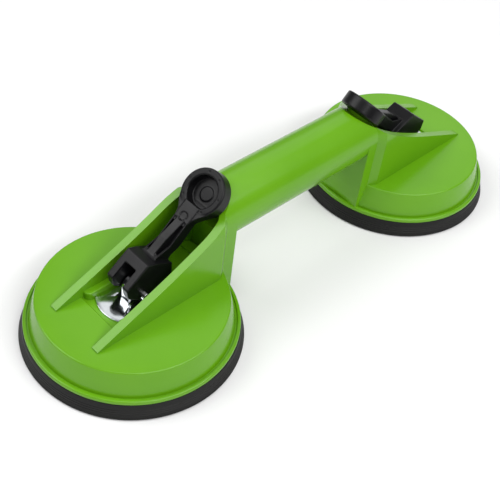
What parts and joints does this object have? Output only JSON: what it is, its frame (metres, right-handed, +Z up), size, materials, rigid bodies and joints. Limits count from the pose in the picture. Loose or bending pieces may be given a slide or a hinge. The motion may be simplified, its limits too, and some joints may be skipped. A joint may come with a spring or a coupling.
{
  "type": "vacuum suction cup lifter",
  "caption": "Hand-held vacuum lifter: two round rubber suction cups joined by a tubular handle, each worked by a folding cam lever.",
  "frame": {"origin": "on the floor under the middle of the handle, midway between the cups", "axes": "+X along the handle towards the right cup, +Z up from the floor"},
  "size_m": [0.332, 0.12, 0.084],
  "materials": {
    "green_plastic": "moulded plastic, soft gloss",
    "rubber": "matt moulded rubber",
    "black_plastic": "moulded plastic, satin",
    "zinc_plate": "bright zinc plate",
    "bright_steel": "polished",
    "plain_steel": "plain",
    "spring_steel": "drawn wire"
  },
  "bodies": {
    "frame": {"body": "green_plastic", "left_pad_rim": "rubber", "left_wear_plate": "zinc_plate", "left_spring_washer": "plain_steel", "left_return_spring": "spring_steel", "right_pad_rim": "rubber", "right_wear_plate": "zinc_plate", "right_spring_washer": "plain_steel", "right_return_spring": "spring_steel"},
    "left_core": {"left_stud": "bright_steel", "left_backing_plate": "plain_steel", "left_pad_core": "rubber"},
    "left_lever": {"left_lever": "black_plastic", "left_cross_pin": "bright_steel"},
    "right_core": {"right_stud": "bright_steel", "right_backing_plate": "plain_steel", "right_pad_core": "rubber"},
    "right_lever": {"right_lever": "black_plastic", "right_cross_pin": "bright_steel"}
  },
  "joints": [
    {"name": "left_core_slide", "type": "slide", "parent": "frame", "child": "left_core", "axis": [0, 0, -1], "range_m": [0, 0.0035], "deforming": ["left_return_spring"]},
    {"name": "left_lever_turn", "type": "hinge", "parent": "left_core", "child": "left_lever", "pos_m": [-0.106, 0, 0.034], "axis": [0, -1, 0], "range_deg": [0, 37]},
    {"name": "right_core_slide", "type": "slide", "parent": "frame", "child": "right_core", "axis": [0, 0, -1], "range_m": [0, 0.0035], "deforming": ["right_return_spring"]},
    {"name": "right_lever_turn", "type": "hinge", "parent": "right_core", "child": "right_lever", "pos_m": [0.106, 0, 0.034], "axis": [0, 1, 0], "range_deg": [0, 37]}
  ],
  "couplings": [
    {"joint": "left_core_slide", "follows": "left_lever_turn", "m_per_rad": 0.005419},
    {"joint": "right_core_slide", "follows": "right_lever_turn", "m_per_rad": 0.005419}
  ]
}
